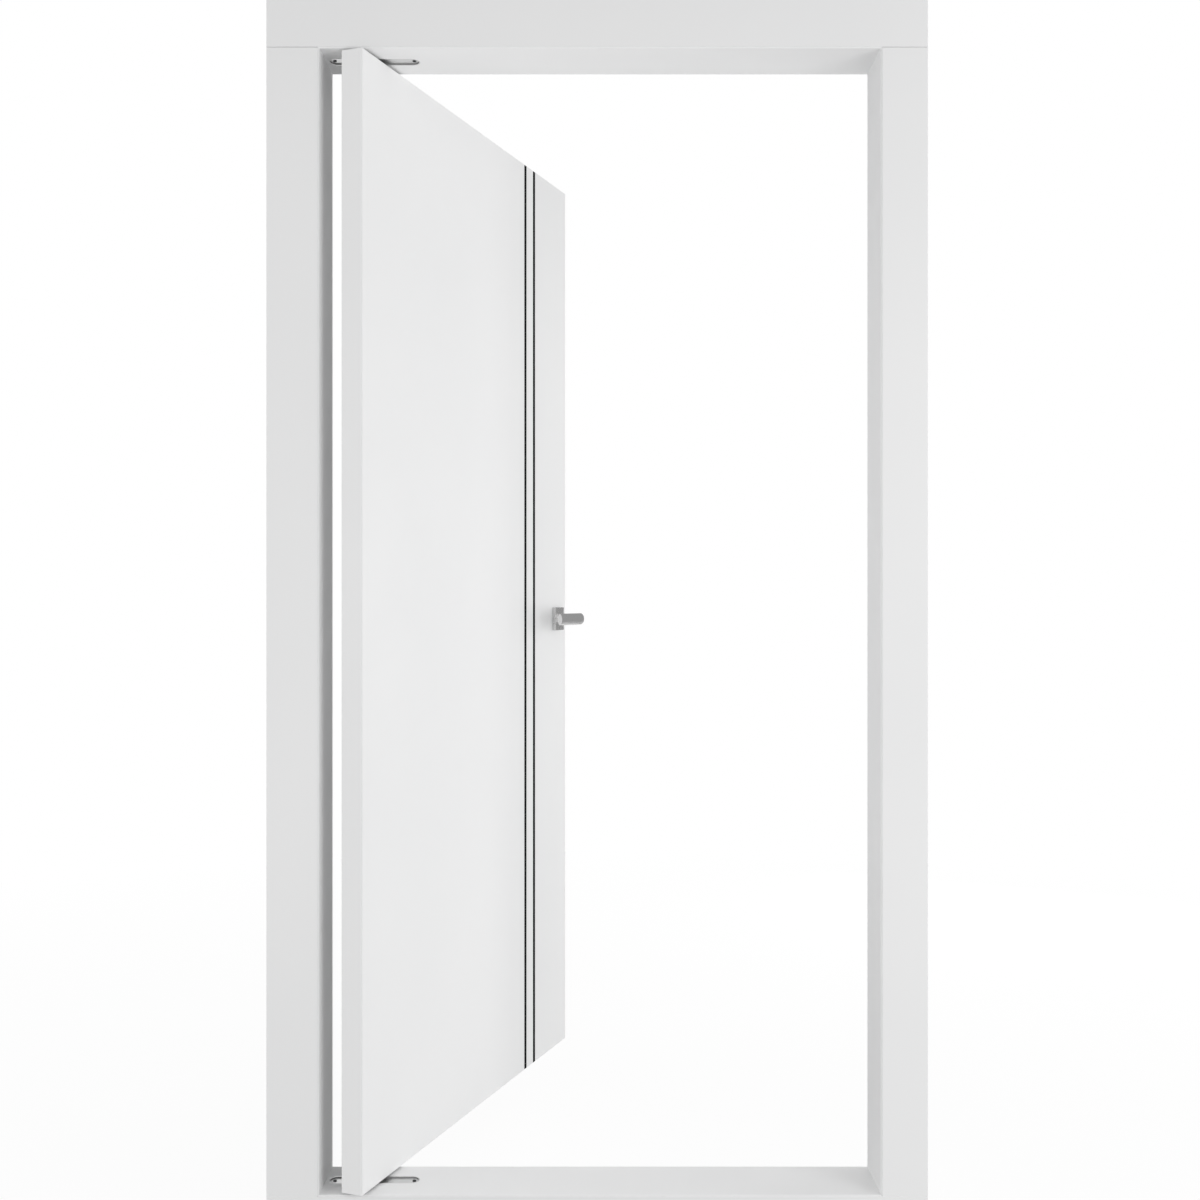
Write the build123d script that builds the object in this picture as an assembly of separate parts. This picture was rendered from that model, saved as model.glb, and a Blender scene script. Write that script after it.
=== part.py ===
from build123d import *
import math
import os

# Interior pivot door: a four-sided frame of mitred linings and flat casings,
# a flush leaf that turns on offset pivots, and a lever handle on each face.
# Millimetres, +Z up. The origin is on the underside of the sill, below the
# middle of the opening and at the middle of the frame's depth. The leaf
# stands open, swung towards +Y.

# Opening and frame
opening_width = 1000.0
opening_height = 2042.0
frame_depth = 132.0
lining_thickness = 22.0
casing_thickness = 14.0
nose_chamfer = 2.0
pivot_face_width = 94.0
lock_face_width = 84.0
head_face_width = 94.0
sill_face_width = 93.0
casing_arris = 1.2
joint_vee = 0.8
joint_slot = 1.0
joint_slot_depth = 4.0

# Leaf
leaf_thickness = 42.0
leaf_open_angle = 70.0
pivot_setback = 86.0
heel_gap = 7.2
lock_gap = 5.5
leaf_end_gap = 5.0
skin_thickness = 4.0
edging_thickness = 10.0
heel_round = 3.0
lock_round = 1.5

# Inlaid strips, measured from the lock edge to each strip's middle
inlay_width = 13.0
inlay_depth = 2.0
inlay_sink = 0.3
inlay_setbacks = {"outer": 196.0, "inner": 246.0}

# Pivot plates: shallow trays with round ends, a little off the pivot's axis
plate_length = 166.0
plate_width = 32.0
plate_shift_along = 2.3
plate_shift_across = 3.0
plate_thickness = 5.0
plate_rim = 2.0
plate_sink = 2.2

# Pivots
running_clearance = 0.05
spindle_radius = 8.0
spindle_rise = 22.0
spindle_foot = 16.0
collar_margin = 1.0
thrust_gap = 0.2
pin_radius = 6.0
pin_rise = 9.0
pin_seat = 28.0
pin_well_depth = 14.0
pivot_box_length = 120.0
pivot_box_width = 28.0
pivot_box_height = 36.0
pivot_box_lead = 45.0

# Lock in the leaf's edge
backset = 57.0
handle_height = 1015.0
faceplate_thickness = 3.0
faceplate_width = 20.0
faceplate_margin = 12.0
lock_case_depth = 85.0
lock_case_thickness = 16.0
lock_case_above = 60.0
lock_case_below = 90.0
latch_width = 12.0
latch_height = 26.0
latch_length = 24.0
latch_rise = 28.0
latch_sink = 0.3

# Handle
rosette_size = 54.0
rosette_thickness = 8.0
rosette_arris = 1.0
neck_radius = 8.0
neck_start = 1.0
neck_height = 24.0
neck_gap = 0.4
lever_reach = 66.5
lever_length = 132.5
lever_overhang = 8.5
lever_height = 26.4
lever_thickness = 11.2
lever_edge_flat = 1.6
lever_corner = 8.0
spindle_square = 8.0
spindle_socket = 12.0
hub_radius = 10.0
handle_bore_clearance = 5.3

# Sizes that follow from the ones above
half_depth = frame_depth / 2
lining_half_depth = half_depth - casing_thickness
sill_top = sill_face_width
head_soffit = sill_top + opening_height
half_opening = opening_width / 2
pivot_x = pivot_setback - half_opening
leaf_heel = heel_gap - pivot_setback
leaf_lock = opening_width - pivot_setback - lock_gap
leaf_bottom = sill_top + leaf_end_gap
leaf_top = head_soffit - leaf_end_gap
leaf_half = leaf_thickness / 2
core_half = leaf_half - skin_thickness
core_heel = leaf_heel + edging_thickness
core_lock = leaf_lock - edging_thickness
handle_x = leaf_lock - backset
handle_z = sill_top + handle_height
handle_bore_radius = spindle_square / math.sqrt(2) + handle_bore_clearance
case_front = leaf_lock - faceplate_thickness
case_back = case_front - lock_case_depth
case_bottom = handle_z - lock_case_below
case_top = handle_z + lock_case_above
latch_bottom = handle_z + latch_rise - latch_height / 2
latch_top = latch_bottom + latch_height

nodes = {}


def box_between(low, high):
    size = [b - a for a, b in zip(low, high)]
    middle = [(a + b) / 2 for a, b in zip(low, high)]
    return Pos(*middle) * Box(*size)


def upright_cylinder(radius, bottom, top):
    align = (Align.CENTER, Align.CENTER, Align.MIN)
    return Pos(0, 0, bottom) * Cylinder(radius, top - bottom, align=align)


def cross_cylinder(radius, near, far):
    # A cylinder along Y at the handle's axis
    align = (Align.CENTER, Align.CENTER, Align.MIN)
    turned = Rot(-90, 0, 0) * Cylinder(radius, far - near, align=align)
    return Pos(handle_x, near, handle_z) * turned


def stadium(length, width, thickness):
    return extrude(SlotOverall(length, width), amount=thickness)


# Linings: one section all round, cut to a mitre at each corner
lining_section = [
    (0, nose_chamfer - half_depth),
    (nose_chamfer, -half_depth),
    (nose_chamfer, -lining_half_depth),
    (lining_thickness, -lining_half_depth),
    (lining_thickness, lining_half_depth),
    (nose_chamfer, lining_half_depth),
    (nose_chamfer, half_depth),
    (0, half_depth - nose_chamfer),
]


def lining(middle, outward, along, half_length):
    across = Vector(0, 1, 0)
    start = middle - along * (half_length + lining_thickness)
    points = [start + outward * u + across * v for u, v in lining_section]
    run = 2 * (half_length + lining_thickness)
    board = extrude(make_face(Polyline(*points, close=True)), amount=run, dir=along)
    inner = along * half_length
    outer = along * (half_length + lining_thickness)
    edge = middle + outward * lining_thickness
    corners = [middle - inner, middle + inner, edge + outer, edge - outer]
    trapezium = make_face(Polyline(*corners, close=True))
    return board & extrude(trapezium, amount=half_depth, both=True)


mid_height = sill_top + opening_height / 2
head_lining = lining(Vector(0, 0, head_soffit), Vector(0, 0, 1), Vector(1, 0, 0), half_opening)
sill_lining = lining(Vector(0, 0, sill_top), Vector(0, 0, -1), Vector(1, 0, 0), half_opening)
nodes["pivot_jamb_lining"] = lining(
    Vector(-half_opening, 0, mid_height), Vector(-1, 0, 0), Vector(0, 0, 1), opening_height / 2
)
nodes["lock_jamb_lining"] = lining(
    Vector(half_opening, 0, mid_height), Vector(1, 0, 0), Vector(0, 0, 1), opening_height / 2
)


# Casings: head and sill run the full width, the uprights stand between them
def casing(x_low, x_high, z_low, z_high, arrises):
    board = box_between((x_low, -half_depth, z_low), (x_high, -lining_half_depth, z_high))
    limits = {"left": (0, x_low), "right": (0, x_high), "bottom": (2, z_low), "top": (2, z_high)}
    for side, size in arrises.items():
        index, limit = limits[side]
        face = board.faces().sort_by(Axis.Y)[0]
        rim = [e for e in face.edges() if abs(tuple(e.center())[index] - limit) < 0.01]
        board = chamfer(rim, size)
    return board


def upright_casing(x_low, x_high, arrises):
    # A fine shadow slot runs across both ends, where head and sill meet it
    board = casing(x_low, x_high, upright_low, upright_high, arrises)
    slot_back = joint_slot_depth - half_depth
    top_slot = box_between(
        (x_low, -half_depth, upright_high - joint_slot), (x_high, slot_back, upright_high)
    )
    bottom_slot = box_between(
        (x_low, -half_depth, upright_low), (x_high, slot_back, upright_low + joint_slot)
    )
    return board - top_slot - bottom_slot


frame_left = -half_opening - pivot_face_width
frame_right = half_opening + lock_face_width
frame_top = head_soffit + head_face_width
upright_low = sill_top - nose_chamfer
upright_high = head_soffit + nose_chamfer
outer_ends = {"left": casing_arris, "right": casing_arris}
casings = {
    "head_casing": casing(
        frame_left, frame_right, upright_high, frame_top,
        {**outer_ends, "top": casing_arris, "bottom": joint_vee},
    ),
    "sill_casing": casing(
        frame_left, frame_right, 0, upright_low,
        {**outer_ends, "bottom": casing_arris, "top": joint_vee},
    ),
    "pivot_jamb_casing": upright_casing(
        frame_left, -half_opening - nose_chamfer, {"left": casing_arris, "right": joint_vee}
    ),
    "lock_jamb_casing": upright_casing(
        half_opening + nose_chamfer, frame_right, {"left": joint_vee, "right": casing_arris}
    ),
}
for name, board in casings.items():
    nodes[name + "_front"] = board
    nodes[name + "_back"] = mirror(board, about=Plane.XZ)

# The bearer under the sill lining carries the frame's foot
bearer_half = half_opening + lining_thickness
nodes["sill_bearer"] = box_between(
    (-bearer_half, -lining_half_depth, 0),
    (bearer_half, lining_half_depth, sill_top - lining_thickness),
)


# Pivot plates: trays let in flush with the sill and the head, drawn for the
# sill first. The floor of each tray lies below its rim.
sill_place = Pos(pivot_x, 0, sill_top)
head_place = Pos(pivot_x, 0, head_soffit)
inner_length = plate_length - 2 * plate_rim
inner_width = plate_width - 2 * plate_rim
plate_place = Pos(plate_shift_along, plate_shift_across, 0)
pocket = plate_place * Pos(0, 0, -plate_thickness) * stadium(
    plate_length, plate_width, plate_thickness
)
hollow = plate_place * Pos(0, 0, -plate_sink) * stadium(inner_length, inner_width, plate_sink)
tray = pocket - hollow

# The fixed spindle stands in the sill and carries the leaf on its collar
spindle_shaft = upright_cylinder(spindle_radius, -spindle_foot, leaf_end_gap + spindle_rise)
collar_radius = inner_width / 2 - plate_shift_across - collar_margin
collar = upright_cylinder(collar_radius, -plate_sink, leaf_end_gap - thrust_gap)
nodes["sill_pivot_spindle"] = sill_place * (spindle_shaft + collar)
nodes["sill_pivot_plate"] = sill_place * (tray - spindle_shaft)
nodes["sill_lining"] = sill_lining - sill_place * (pocket + spindle_shaft)

# The leaf's top pin turns in the head plate and reaches into a well above it
pin_bore = upright_cylinder(pin_radius + running_clearance, 0, plate_thickness)
pin_well = upright_cylinder(pin_radius + running_clearance, 0, pin_well_depth)
nodes["head_pivot_plate"] = head_place * (mirror(tray, about=Plane.XY) - pin_bore)
nodes["head_lining"] = head_lining - head_place * (mirror(pocket, about=Plane.XY) + pin_well)

# The leaf is drawn closed, with its pivot axis at X = 0, and turned at the end
leaf_nodes = {}
box_low = (-pivot_box_lead, -pivot_box_width / 2)
box_high = (pivot_box_length - pivot_box_lead, pivot_box_width / 2)
bottom_box = box_between(
    (*box_low, leaf_bottom), (*box_high, leaf_bottom + pivot_box_height)
)
top_box = box_between((*box_low, leaf_top - pivot_box_height), (*box_high, leaf_top))
socket = upright_cylinder(
    spindle_radius + running_clearance, leaf_bottom, leaf_bottom + spindle_rise + thrust_gap
)
pin = upright_cylinder(pin_radius, leaf_top - pin_seat, leaf_top + leaf_end_gap + pin_rise)
leaf_nodes["leaf_bottom_pivot_box"] = bottom_box - socket
leaf_nodes["leaf_top_pivot_box"] = top_box - pin
leaf_nodes["leaf_top_pivot_pin"] = pin

# Lock case behind a flush faceplate, with the latch drawn back level with it
lock_half = lock_case_thickness / 2
case_block = box_between(
    (case_back, -lock_half, case_bottom), (case_front, lock_half, case_top)
)
latch_space = box_between(
    (case_front - latch_length, -latch_width / 2, latch_bottom),
    (leaf_lock, latch_width / 2, latch_top),
)
latch = box_between(
    (case_front - latch_length, -latch_width / 2, latch_bottom),
    (leaf_lock - latch_sink, latch_width / 2, latch_top),
)
faceplate_length = lock_case_above + lock_case_below + 2 * faceplate_margin
faceplate = Pos(case_front, 0, (case_bottom + case_top) / 2) * (
    Rot(0, 90, 0) * stadium(faceplate_length, faceplate_width, faceplate_thickness)
)
hub_bore = cross_cylinder(hub_radius + running_clearance, -lock_half, lock_half)
leaf_nodes["lock_case"] = case_block - latch_space - hub_bore
leaf_nodes["lock_faceplate"] = faceplate - latch_space
leaf_nodes["latch_bolt"] = latch

# Core, edgings and skins
handle_bore = cross_cylinder(handle_bore_radius, -leaf_half, leaf_half)
core = box_between((core_heel, -core_half, leaf_bottom), (core_lock, core_half, leaf_top))
leaf_nodes["leaf_core"] = core - bottom_box - top_box - case_block - handle_bore


def edging(x_low, x_high, rounding, outer_x):
    strip = box_between((x_low, -leaf_half, leaf_bottom), (x_high, leaf_half, leaf_top))
    corners = [
        e for e in strip.edges().filter_by(Axis.Z) if abs(e.center().X - outer_x) < 0.01
    ]
    return fillet(corners, rounding)


leaf_nodes["leaf_pivot_edge"] = edging(leaf_heel, core_heel, heel_round, leaf_heel)
lock_edge = edging(core_lock, leaf_lock, lock_round, leaf_lock)
leaf_nodes["leaf_lock_edge"] = lock_edge - case_block - faceplate

skin = box_between((core_heel, -leaf_half, leaf_bottom), (core_lock, -core_half, leaf_top))
skin = skin - handle_bore
for name, setback in inlay_setbacks.items():
    low = leaf_lock - setback - inlay_width / 2
    high = low + inlay_width
    floor = inlay_depth - leaf_half
    groove = box_between((low, -leaf_half, leaf_bottom), (high, floor, leaf_top))
    strip = box_between((low, inlay_sink - leaf_half, leaf_bottom), (high, floor, leaf_top))
    skin = skin - groove
    leaf_nodes["inlay_front_" + name] = strip
    leaf_nodes["inlay_back_" + name] = mirror(strip, about=Plane.XZ)
leaf_nodes["leaf_front_skin"] = skin
leaf_nodes["leaf_back_skin"] = mirror(skin, about=Plane.XZ)

# Rosette: a square plate that the lever's neck turns in
rosette_half = rosette_size / 2
rosette = box_between(
    (handle_x - rosette_half, -leaf_half - rosette_thickness, handle_z - rosette_half),
    (handle_x + rosette_half, -leaf_half, handle_z + rosette_half),
)
rosette_rim = rosette.edges() - rosette.faces().sort_by(Axis.Y)[-1].edges()
rosette = chamfer(rosette_rim, rosette_arris)
neck_bore = cross_cylinder(
    neck_radius + running_clearance, -leaf_half - rosette_thickness, -leaf_half
)
rosette = rosette - neck_bore
leaf_nodes["rosette_front"] = rosette
leaf_nodes["rosette_back"] = mirror(rosette, about=Plane.XZ)


# Lever: a round spigot turns in the rosette, and a tall neck with round ends
# carries a bar of lens section, rounded off past the neck and cut square at
# its free end. The section has X out and Y upright.
def lens_section():
    top = lever_height / 2
    flat = lever_edge_flat / 2
    bulge = lever_thickness / 2
    right = ThreePointArc((flat, -top), (bulge, 0), (flat, top))
    cap = Line((flat, top), (-flat, top))
    left = ThreePointArc((-flat, top), (-bulge, 0), (-flat, -top))
    foot = Line((-flat, -top), (flat, -top))
    return make_face([right, cap, left, foot])


bar_line = lever_reach - lever_thickness / 2
bar_far = Plane(
    origin=(handle_x + lever_overhang, -leaf_half - bar_line, handle_z),
    x_dir=(0, -1, 0),
    z_dir=(-1, 0, 0),
)
bar = extrude(bar_far * lens_section(), amount=lever_overhang + lever_length)
far_corners = [
    e for e in bar.edges().filter_by(Axis.Y)
    if e.center().X > handle_x and abs(e.center().Z - handle_z) > lever_height / 4
]
bar = fillet(far_corners, lever_corner)
neck_foot = rosette_thickness + neck_gap
spigot = cross_cylinder(neck_radius, -leaf_half - neck_foot, -leaf_half - neck_start)
neck_plane = Plane(
    origin=(handle_x, -leaf_half - neck_foot, handle_z), x_dir=(0, 0, 1), z_dir=(0, -1, 0)
)
neck_outline = neck_plane * SlotOverall(neck_height, 2 * neck_radius)
neck = extrude(neck_outline, amount=bar_line - neck_foot)
spindle_half = spindle_square / 2
spindle_end = leaf_half + neck_start + spindle_socket
square_bar = box_between(
    (handle_x - spindle_half, -spindle_end, handle_z - spindle_half),
    (handle_x + spindle_half, spindle_end, handle_z + spindle_half),
)
lever = spigot + neck + bar - square_bar
leaf_nodes["lever_front"] = lever
leaf_nodes["lever_back"] = mirror(lever, about=Plane.XZ)
leaf_nodes["handle_spindle"] = square_bar + cross_cylinder(hub_radius, -lock_half, lock_half)

# Everything on the leaf stands at the open angle
leaf_place = Pos(pivot_x, 0, 0) * Rot(0, 0, leaf_open_angle)
for name, shape in leaf_nodes.items():
    nodes[name] = leaf_place * shape

os.makedirs("parts", exist_ok=True)
for name, shape in nodes.items():
    export_step(shape, "parts/" + name + ".step")
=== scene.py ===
import math

import bmesh
import bpy
from mathutils import Matrix, Vector


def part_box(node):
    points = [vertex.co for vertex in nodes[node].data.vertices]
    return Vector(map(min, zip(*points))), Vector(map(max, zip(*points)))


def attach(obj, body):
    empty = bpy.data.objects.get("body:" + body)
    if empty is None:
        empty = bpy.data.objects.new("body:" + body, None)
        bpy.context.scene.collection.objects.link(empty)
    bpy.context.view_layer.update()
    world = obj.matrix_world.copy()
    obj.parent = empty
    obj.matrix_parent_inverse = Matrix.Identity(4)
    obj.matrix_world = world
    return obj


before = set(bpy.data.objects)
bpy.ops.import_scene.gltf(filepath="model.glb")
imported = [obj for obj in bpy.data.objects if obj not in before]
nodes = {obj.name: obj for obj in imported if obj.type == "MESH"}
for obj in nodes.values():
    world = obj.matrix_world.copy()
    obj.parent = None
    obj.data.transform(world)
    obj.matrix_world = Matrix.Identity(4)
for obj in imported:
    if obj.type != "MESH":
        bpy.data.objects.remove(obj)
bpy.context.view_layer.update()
scene = bpy.context.scene

# The leaf stands open by this angle, and ALONG is the direction from its pivot to its lock edge
OPEN = math.radians(70.0)
ALONG = Vector((math.cos(OPEN), math.sin(OPEN), 0))
UP = Vector((0, 0, 1))

# Sizes repeated from part.py, in metres
PIVOT_X = -0.414
LEAF_LOCK = 0.9085
PLATE_RIM = 0.002
PLATE_SINK = 0.0022
JOINT_SLOT = 0.001
JOINT_VEE = 0.0008

# Camera: level and square to the frame, straight in front of the opening's middle
camera_data = bpy.data.cameras.new("camera")
camera_data.sensor_width = 36.0
camera_data.lens = 43.456
camera_data.clip_start = 0.05
camera_data.clip_end = 60.0
camera = bpy.data.objects.new("camera", camera_data)
camera.location = (0.0, -2.644, 1.1524)
camera.rotation_euler = (math.radians(90), 0, 0)
scene.collection.objects.link(camera)
scene.camera = camera

scene.view_settings.view_transform = "Standard"


# Shader nodes

# The stretch of a noise's values that a colour or a roughness is spread over
INNER = (0.35, 0.65)
WIDER = (0.3, 0.7)


def grey(value):
    return (value, value, value)


def start_material(name):
    material = bpy.data.materials.new(name)
    material.use_nodes = True
    tree = material.node_tree
    return material, tree, tree.nodes["Principled BSDF"]


def place(tree, turn=0.0, scale=(1, 1, 1)):
    """Coordinates in the piece's own space, turned about Z and stretched."""
    coords = tree.nodes.new("ShaderNodeTexCoord")
    turned = tree.nodes.new("ShaderNodeMapping")
    turned.vector_type = "POINT"
    turned.inputs["Rotation"].default_value = (0, 0, -turn)
    tree.links.new(coords.outputs["Object"], turned.inputs["Vector"])
    stretched = tree.nodes.new("ShaderNodeMapping")
    stretched.inputs["Scale"].default_value = scale
    tree.links.new(turned.outputs["Vector"], stretched.inputs["Vector"])
    return stretched.outputs["Vector"]


def noise(tree, vector, scale, detail=2.0, rough=0.5):
    node = tree.nodes.new("ShaderNodeTexNoise")
    node.inputs["Scale"].default_value = scale
    node.inputs["Detail"].default_value = detail
    node.inputs["Roughness"].default_value = rough
    tree.links.new(vector, node.inputs["Vector"])
    return node.outputs["Fac"]


def spread(tree, value, low, high, inner=INNER):
    node = tree.nodes.new("ShaderNodeMapRange")
    node.inputs["From Min"].default_value = inner[0]
    node.inputs["From Max"].default_value = inner[1]
    node.inputs["To Min"].default_value = low
    node.inputs["To Max"].default_value = high
    tree.links.new(value, node.inputs["Value"])
    return node.outputs["Result"]


def soft_step(tree, value, start, end):
    """Rises smoothly from 0 at start to 1 at end."""
    node = tree.nodes.new("ShaderNodeMapRange")
    node.interpolation_type = "SMOOTHSTEP"
    node.inputs["From Min"].default_value = start
    node.inputs["From Max"].default_value = end
    tree.links.new(value, node.inputs["Value"])
    return node.outputs["Result"]


def shades(tree, value, low, high, inner=INNER):
    node = tree.nodes.new("ShaderNodeValToRGB")
    for stop, position, colour in zip(node.color_ramp.elements, inner, (low, high)):
        stop.position = position
        stop.color = (*colour, 1)
    tree.links.new(value, node.inputs["Fac"])
    return node.outputs["Color"]


def relief(tree, shader, height, strength, distance):
    node = tree.nodes.new("ShaderNodeBump")
    node.inputs["Strength"].default_value = strength
    node.inputs["Distance"].default_value = distance
    tree.links.new(height, node.inputs["Height"])
    tree.links.new(node.outputs["Normal"], shader.inputs["Normal"])


def calc(tree, operation, first, second):
    """One operation on two values, each a number or a socket."""
    node = tree.nodes.new("ShaderNodeMath")
    node.operation = operation
    for socket, value in zip(node.inputs, (first, second)):
        if isinstance(value, (int, float)):
            socket.default_value = value
        else:
            tree.links.new(value, socket)
    return node.outputs[0]


def white_for_the_eye(tree, shader_output, white_output, amount=1.0):
    """Shows white to camera, mirror and glass rays. The amount is a number or a socket."""
    path = tree.nodes.new("ShaderNodeLightPath").outputs
    seen = calc(tree, "MAXIMUM", path["Is Camera Ray"], path["Is Glossy Ray"])
    seen = calc(tree, "MAXIMUM", seen, path["Is Transmission Ray"])
    mix = tree.nodes.new("ShaderNodeMixShader")
    tree.links.new(calc(tree, "MULTIPLY", seen, amount), mix.inputs["Fac"])
    tree.links.new(shader_output, mix.inputs[1])
    tree.links.new(white_output, mix.inputs[2])
    return mix.outputs["Shader"]


# Materials

# Stretches of the noise in metal: low along its fine lines and high across them
LEVEL_LINES = (30, 1500, 1500)
UPRIGHT_LINES = (1500, 1500, 30)
DRAWN_LINES = (900, 900, 14)
TURNED_LINES = (300, 300, 2500)
EVEN_GRAIN = (900, 900, 900)

# How far a metal's roughness wanders to either side
METAL_WEAR = 0.05

WHITE_LOW = (0.830, 0.832, 0.834)
WHITE_HIGH = (0.852, 0.853, 0.854)
BOARD_LOW = (0.42, 0.31, 0.20)
BOARD_HIGH = (0.66, 0.53, 0.38)


def lacquer(name, turn=0.0):
    """Sprayed satin lacquer: a faint orange peel and a slightly uneven sheen."""
    material, tree, shader = start_material(name)
    plain = place(tree, turn)
    tone = noise(tree, plain, scale=1.7, detail=3.0)
    tree.links.new(shades(tree, tone, WHITE_LOW, WHITE_HIGH), shader.inputs["Base Color"])
    shader.inputs["Specular IOR Level"].default_value = 0.35
    sheen = noise(tree, plain, scale=9.0, detail=4.0)
    tree.links.new(spread(tree, sheen, 0.56, 0.66), shader.inputs["Roughness"])
    peel = noise(tree, plain, scale=420.0)
    relief(tree, shader, peel, strength=0.06, distance=0.0004)
    return material


def brushed(name, low, high, turn, scale, rough):
    """Metal with fine lines along one direction and a little unevenness."""
    material, tree, shader = start_material(name)
    shader.inputs["Metallic"].default_value = 1.0
    lines = noise(tree, place(tree, turn, scale), scale=1.0, detail=4.0, rough=0.6)
    tree.links.new(shades(tree, lines, low, high, WIDER), shader.inputs["Base Color"])
    cloud = noise(tree, place(tree, turn), scale=90.0, detail=3.0)
    uneven = spread(tree, cloud, rough - METAL_WEAR, rough + METAL_WEAR)
    tree.links.new(uneven, shader.inputs["Roughness"])
    relief(tree, shader, lines, strength=0.12, distance=0.0002)
    return material


def board(name):
    """Raw pressed board, seen only where the lacquer doesn't reach."""
    material, tree, shader = start_material(name)
    flakes = noise(tree, place(tree), scale=240.0, detail=5.0, rough=0.7)
    tree.links.new(shades(tree, flakes, BOARD_LOW, BOARD_HIGH, WIDER), shader.inputs["Base Color"])
    shader.inputs["Roughness"].default_value = 0.85
    relief(tree, shader, flakes, strength=0.4, distance=0.0006)
    return material


def dark_metal(name, low, high, turn=0.0):
    """Matt dark metal with a fine upright grain, for the inlaid strips and for the dark rings of
    painted shade in the plates' trays.
    """
    material, tree, shader = start_material(name)
    shader.inputs["Specular IOR Level"].default_value = 0.01
    grain = noise(tree, place(tree, turn, DRAWN_LINES), scale=1.0, detail=3.0)
    tree.links.new(shades(tree, grain, low, high), shader.inputs["Base Color"])
    tree.links.new(spread(tree, grain, 0.62, 0.74), shader.inputs["Roughness"])
    relief(tree, shader, grain, strength=0.08, distance=0.0001)
    return material


frame_white = lacquer("frame_lacquer")
leaf_white = lacquer("leaf_lacquer", OPEN)
raw_board = board("raw_board")
lever_steel = brushed("lever_steel", grey(0.69), grey(0.75), OPEN, LEVEL_LINES, 0.22)
rosette_steel = brushed("rosette_steel", grey(0.65), grey(0.71), OPEN, UPRIGHT_LINES, 0.24)
plate_steel = brushed("plate_steel", grey(0.66), grey(0.72), 0.0, LEVEL_LINES, 0.36)
edge_steel = brushed("edge_steel", grey(0.42), grey(0.52), OPEN, UPRIGHT_LINES, 0.36)
turned_steel = brushed(
    "turned_steel", (0.36, 0.36, 0.37), (0.46, 0.46, 0.47), 0.0, TURNED_LINES, 0.30
)
# The plates' rings are painted shade: a dark grey that stands in for the shadow in the gap round
# each tray
plate_gap_shade = dark_metal("plate_gap_shade", grey(0.27), grey(0.34))
black_strip = dark_metal("black_strip", (0.008, 0.008, 0.009), (0.016, 0.016, 0.017), OPEN)
screw_steel = brushed(
    "screw_steel", (0.05, 0.05, 0.052), (0.09, 0.09, 0.092), 0.0, EVEN_GRAIN, 0.42
)
screw_steel_bright = brushed("screw_steel_bright", grey(0.38), grey(0.46), 0.0, EVEN_GRAIN, 0.35)

FINISH = {
    "sill_bearer": raw_board,
    "head_pivot_plate": plate_steel,
    "sill_pivot_plate": plate_steel,
    "sill_pivot_spindle": turned_steel,
    "leaf_top_pivot_pin": turned_steel,
    "leaf_top_pivot_box": edge_steel,
    "leaf_bottom_pivot_box": edge_steel,
    "lock_case": edge_steel,
    "lock_faceplate": edge_steel,
    "latch_bolt": turned_steel,
    "handle_spindle": turned_steel,
    "lever_front": lever_steel,
    "lever_back": lever_steel,
    "rosette_front": rosette_steel,
    "rosette_back": rosette_steel,
}
for name, piece in nodes.items():
    if name in FINISH:
        material = FINISH[name]
    elif name.startswith("inlay"):
        material = black_strip
    elif name.startswith("leaf"):
        material = leaf_white
    else:
        material = frame_white
    piece.data.materials.clear()
    piece.data.materials.append(material)


# Small pieces that the solids don't have

def bridge(mesh, first, second):
    """Faces between two closed rings with the same number of points."""
    for i in range(len(first)):
        j = (i + 1) % len(first)
        mesh.faces.new((first[i], first[j], second[j], second[i]))


def add_piece(name, mesh, material, body):
    """Ends the mesh and makes a piece of it that rides on a body."""
    bmesh.ops.recalc_face_normals(mesh, faces=mesh.faces)
    data = bpy.data.meshes.new(name)
    mesh.to_mesh(data)
    mesh.free()
    data.materials.append(material)
    piece = bpy.data.objects.new(name, data)
    scene.collection.objects.link(piece)
    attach(piece, body)


SCREW_POINTS = 36


def hexagon_radius(angle, half_across):
    """How far out the side of a hexagon lies at an angle."""
    step = math.radians(60)
    return half_across / math.cos((angle % step) - step / 2)


def add_screw(name, foot, out, radius, height, socket, material, body, slot):
    """A low head with a bevelled rim and a six-sided socket."""
    bevel = radius * 0.12
    socket_mouth = socket * 1.12
    socket_bevel = height - socket * 0.14
    socket_floor = height * 0.25
    levels = [
        (radius, 0.0, False),
        (radius, height - bevel, False),
        (radius - bevel, height, False),
        (socket_mouth, height, True),
        (socket, socket_bevel, True),
        (socket, socket_floor, True),
    ]
    where = Matrix.Translation(foot) @ out.to_track_quat("Z", "Y").to_matrix().to_4x4()
    mesh = bmesh.new()
    rings = []
    for size, level, six_sided in levels:
        ring = []
        for i in range(SCREW_POINTS):
            angle = 2 * math.pi * i / SCREW_POINTS
            r = hexagon_radius(angle, size) if six_sided else size
            point = where @ Vector((r * math.cos(angle), r * math.sin(angle), level))
            ring.append(mesh.verts.new(point))
        rings.append(ring)
    for lower, upper in zip(rings, rings[1:]):
        bridge(mesh, lower, upper)
    mesh.faces.new(rings[-1])
    mesh.faces.new(list(reversed(rings[0])))
    add_piece(name, mesh, material, body)


# Two screws stand on the floor of each pivot plate's tray
PLATE_SCREW = {"radius": 0.0034, "height": 0.0014, "socket": 0.0014}
PLATE_SCREW_OFFSET = 0.0725
for plate, out in (("sill", UP), ("head", -UP)):
    low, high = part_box(plate + "_pivot_plate")
    middle = (low + high) / 2
    tray = high.z - PLATE_SINK if plate == "sill" else low.z + PLATE_SINK
    for end, sign in (("heel", -1), ("lock", 1)):
        foot = Vector((middle.x + sign * PLATE_SCREW_OFFSET, middle.y, tray))
        add_screw(
            plate + "_plate_screw_" + end, foot, out, **PLATE_SCREW,
            material=screw_steel, body="frame", slot="pivot_steel",
        )
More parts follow.
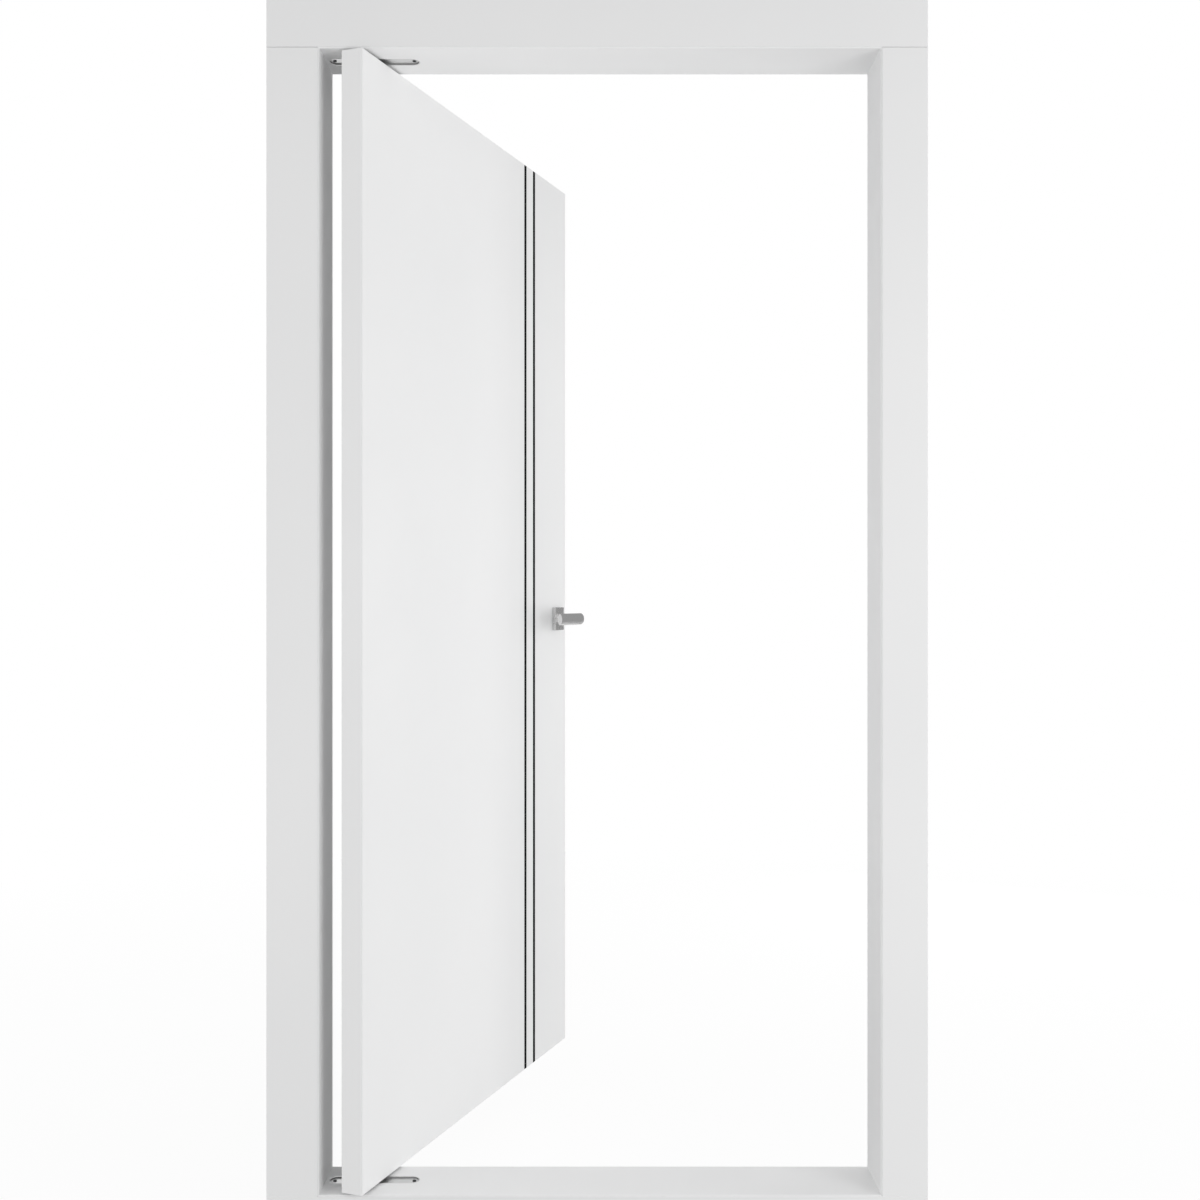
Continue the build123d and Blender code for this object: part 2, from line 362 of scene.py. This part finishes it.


# A dark ring of painted shade runs round the inside of each plate's rim, a little below its mouth:
# it stands in for the shadow in the gap there
GAP_SHADE_THICKNESS = 0.0005
GAP_SHADE_DROP = 0.0002
GAP_SHADE_SLACK = 0.00002
GAP_SHADE_STEPS = 18


def stadium_loop(centre, half_length, half_width):
    """Points round a slot with round ends, seen from above."""
    points = []
    for sign in (1, -1):
        for i in range(GAP_SHADE_STEPS + 1):
            angle = math.pi * (i / GAP_SHADE_STEPS - 0.5)
            x = sign * (half_length - half_width + half_width * math.cos(angle))
            points.append(centre + Vector((x, sign * half_width * math.sin(angle), 0)))
    return points


# Each ring's dark grey is painted shade for the shadow in its tray's gap
for plate, inward in (("sill", -1), ("head", 1)):
    low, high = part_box(plate + "_pivot_plate")
    half_length, half_width = ((size / 2 - PLATE_RIM - GAP_SHADE_SLACK) for size in (high - low).xy)
    centre = (low + high) / 2
    centre.z = (high.z if plate == "sill" else low.z) + inward * GAP_SHADE_DROP
    depth = Vector((0, 0, inward * (PLATE_SINK - GAP_SHADE_DROP)))
    outer = stadium_loop(centre, half_length, half_width)
    inner = stadium_loop(centre, half_length - GAP_SHADE_THICKNESS, half_width - GAP_SHADE_THICKNESS)
    mesh = bmesh.new()
    rings = []
    for loop in (outer, [v + depth for v in outer], [v + depth for v in inner], inner):
        rings.append([mesh.verts.new(v) for v in loop])
    for first, second in zip(rings, rings[1:] + rings[:1]):
        bridge(mesh, first, second)
    add_piece(plate + "_plate_gap_shade", mesh, plate_gap_shade, "frame")


# A bead of filler closes the uprights' bottom joints, which don't show in the photograph.
# It fills the upright's slot and the vee below it, with a hollow front just inside the faces.
BEAD_SLACK = 0.00003
BEAD_DEPTH = 0.0036
BEAD_FRONT = 0.0001
BEAD_HOLLOW = 0.0002
BEAD_FOOT = 0.0002
BEAD_END = 0.0013
BEAD_STEPS = 8
for side, inward in (("front", 1), ("back", -1)):
    sill_low, sill_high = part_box("sill_casing_" + side)
    joint = sill_high.z
    face = sill_low.y if side == "front" else sill_high.y
    top = joint + JOINT_SLOT - BEAD_SLACK
    bottom = joint - JOINT_VEE + BEAD_FOOT
    profile = [(BEAD_DEPTH, joint + BEAD_SLACK), (JOINT_VEE, joint + BEAD_SLACK)]
    for i in range(BEAD_STEPS + 1):
        share = i / BEAD_STEPS
        hollow = BEAD_HOLLOW * 4 * share * (1 - share)
        profile.append((BEAD_FRONT + hollow, bottom + (top - bottom) * share))
    profile.append((BEAD_DEPTH, top))
    for jamb in ("pivot_jamb", "lock_jamb"):
        low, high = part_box(jamb + "_casing_" + side)
        mesh = bmesh.new()
        ends = []
        for x in (low.x + BEAD_END, high.x - BEAD_END):
            ends.append([mesh.verts.new((x, face + inward * depth, z)) for depth, z in profile])
        bridge(mesh, *ends)
        mesh.faces.new(list(reversed(ends[0])))
        mesh.faces.new(ends[1])
        add_piece(jamb + "_joint_bead_" + side, mesh, frame_white, "frame")


# Two screws in the lock's faceplate, let into the leaf's edge
EDGE_SCREW = {"radius": 0.0036, "height": 0.0008, "socket": 0.0015}
EDGE_SCREW_END = 0.0085
EDGE_SCREW_SINK = 0.0004
low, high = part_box("lock_faceplate")
edge = Vector((PIVOT_X, 0, 0)) + ALONG * (LEAF_LOCK - EDGE_SCREW_SINK)
for end, z in (("top", high.z - EDGE_SCREW_END), ("bottom", low.z + EDGE_SCREW_END)):
    add_screw(
        "faceplate_screw_" + end, edge + UP * z, ALONG, **EDGE_SCREW,
        material=screw_steel_bright, body="leaf", slot="satin_steel",
    )


# Floor

WHITE = (1, 1, 1, 1)
FLOOR_REACH = 14.0
FLOOR_DROP = 0.0005
# The share of plain white that the floor shows, and the distances between which it rises
FLOOR_WHITE = (0.93, 1.0)
FLOOR_FADE = (1.0, 4.0)


def rectangle(name, width, height):
    w, h = width / 2, height / 2
    data = bpy.data.meshes.new(name)
    data.from_pydata([(-w, -h, 0), (w, -h, 0), (w, h, 0), (-w, h, 0)], [], [(0, 1, 2, 3)])
    return data


floor = bpy.data.objects.new("floor", rectangle("floor", 2 * FLOOR_REACH, 2 * FLOOR_REACH))
floor.location = (0, 0, -FLOOR_DROP)
scene.collection.objects.link(floor)
material, tree, shader = start_material("floor_paint")
tone = noise(tree, place(tree), scale=0.6, detail=3.0)
tree.links.new(shades(tree, tone, grey(0.92), grey(0.94)), shader.inputs["Base Color"])
shader.inputs["Roughness"].default_value = 0.9
glow = tree.nodes.new("ShaderNodeEmission")
glow.inputs["Color"].default_value = WHITE
glow.inputs["Strength"].default_value = 1.0
away = tree.nodes.new("ShaderNodeVectorMath")
away.operation = "LENGTH"
tree.links.new(place(tree), away.inputs[0])
amount = spread(tree, away.outputs["Value"], *FLOOR_WHITE, FLOOR_FADE)
shown = white_for_the_eye(tree, shader.outputs["BSDF"], glow.outputs["Emission"], amount)
tree.links.new(shown, tree.nodes["Material Output"].inputs["Surface"])
floor.data.materials.append(material)
floor.visible_diffuse = False
floor.visible_shadow = False


# The world's soft light is even all round, stronger from steep angles, and faint straight
# behind the frame. Camera, mirror and glass rays see plain white.
SKY_LEVEL = 0.55
SKY_STEEP = 0.28
SKY_SHADE = 0.44
STEEP_FROM, STEEP_TO = 0.50, 0.85
SHADE_FROM, SHADE_TO = 0.46, 0.78
SHADE_HEADING = (-0.122, 0.993, 0)

world = bpy.data.worlds.new("world")
scene.world = world
world.use_nodes = True
sky = world.node_tree
ambient = sky.nodes["Background"]
ambient.inputs["Color"].default_value = WHITE
direction = sky.nodes.new("ShaderNodeTexCoord").outputs["Generated"]
parts = sky.nodes.new("ShaderNodeSeparateXYZ")
sky.links.new(direction, parts.inputs["Vector"])
rise = calc(sky, "ABSOLUTE", parts.outputs["Z"], 0.0)
steep = soft_step(sky, rise, STEEP_FROM, STEEP_TO)
level = sky.nodes.new("ShaderNodeVectorMath")
level.operation = "MULTIPLY"
level.inputs[1].default_value = (1, 1, 0)
sky.links.new(direction, level.inputs[0])
heading = sky.nodes.new("ShaderNodeVectorMath")
heading.operation = "NORMALIZE"
sky.links.new(level.outputs["Vector"], heading.inputs[0])
behind = sky.nodes.new("ShaderNodeVectorMath")
behind.operation = "DOT_PRODUCT"
behind.inputs[1].default_value = SHADE_HEADING
sky.links.new(heading.outputs["Vector"], behind.inputs[0])
shade = soft_step(sky, behind.outputs["Value"], SHADE_FROM, SHADE_TO)
strength = calc(sky, "ADD", calc(sky, "MULTIPLY", steep, SKY_STEEP), SKY_LEVEL)
strength = calc(sky, "SUBTRACT", strength, calc(sky, "MULTIPLY", shade, SKY_SHADE))
sky.links.new(strength, ambient.inputs["Strength"])
bright = sky.nodes.new("ShaderNodeBackground")
bright.inputs["Color"].default_value = WHITE
bright.inputs["Strength"].default_value = 1.0
shown = white_for_the_eye(sky, ambient.outputs["Background"], bright.outputs["Background"])
sky.links.new(shown, sky.nodes["World Output"].inputs["Surface"])


# Lamps and cards

def set_up(thing, at, aim, axis):
    """Stands the thing at a point, with its axis turned towards another."""
    thing.location = at
    thing.rotation_mode = "QUATERNION"
    thing.rotation_quaternion = (Vector(aim) - Vector(at)).to_track_quat(axis, "Y")
    scene.collection.objects.link(thing)


def soft_light(name, at, aim, width, height, watts, glints=True):
    """A large soft lamp. With glints off, no reflection shows it."""
    data = bpy.data.lights.new(name, "AREA")
    data.shape = "RECTANGLE"
    data.size = width
    data.size_y = height
    data.energy = watts
    lamp = bpy.data.objects.new(name, data)
    set_up(lamp, at, aim, "-Z")
    lamp.visible_camera = False
    lamp.visible_glossy = glints


def reflected_card(name, at, aim, width, height):
    """A grey card that only reflections show, as a studio hangs for satin metal."""
    card = bpy.data.objects.new(name, rectangle(name, width, height))
    set_up(card, at, aim, "Z")
    material, tree, shader = start_material(name)
    felt = noise(tree, place(tree), scale=3.0, detail=3.0)
    tree.links.new(shades(tree, felt, grey(0.52), grey(0.57)), shader.inputs["Base Color"])
    shader.inputs["Roughness"].default_value = 0.95
    shader.inputs["Specular IOR Level"].default_value = 0.0
    card.data.materials.append(material)
    card.visible_camera = False
    card.visible_diffuse = False
    card.visible_shadow = False


soft_light("front_light", (0.3, -2.6, 1.12), (0.3, 0, 1.12), 1.0, 1.0, 3)
soft_light("front_right_light", (2.5, -2.3, 1.12), (0, 0.2, 1.12), 1.5, 1.6, 33, glints=False)
soft_light("front_left_light", (-3.0, -1.5, 1.12), (0, 0.1, 1.12), 1.2, 1.5, 16)
soft_light("left_light", (-4.2, -0.1, 1.12), (-0.2, 0.5, 1.12), 1.8, 2.4, 10, glints=False)
soft_light("right_light", (3.8, 2.4, 1.12), (-0.1, 0.7, 1.12), 2.6, 3.0, 43, glints=False)
soft_light("back_light", (1.6, 3.2, 1.12), (0, 0, 1.12), 1.4, 2.4, 38, glints=False)
reflected_card("grey_card", (3.0, 3.3, 2.0), (-0.1, 0.6, 1.15), 5.2, 4.6)
reflected_card("low_grey_card", (1.9, 2.3, 0.003), (1.9, 2.3, 2.0), 4.6, 4.0)
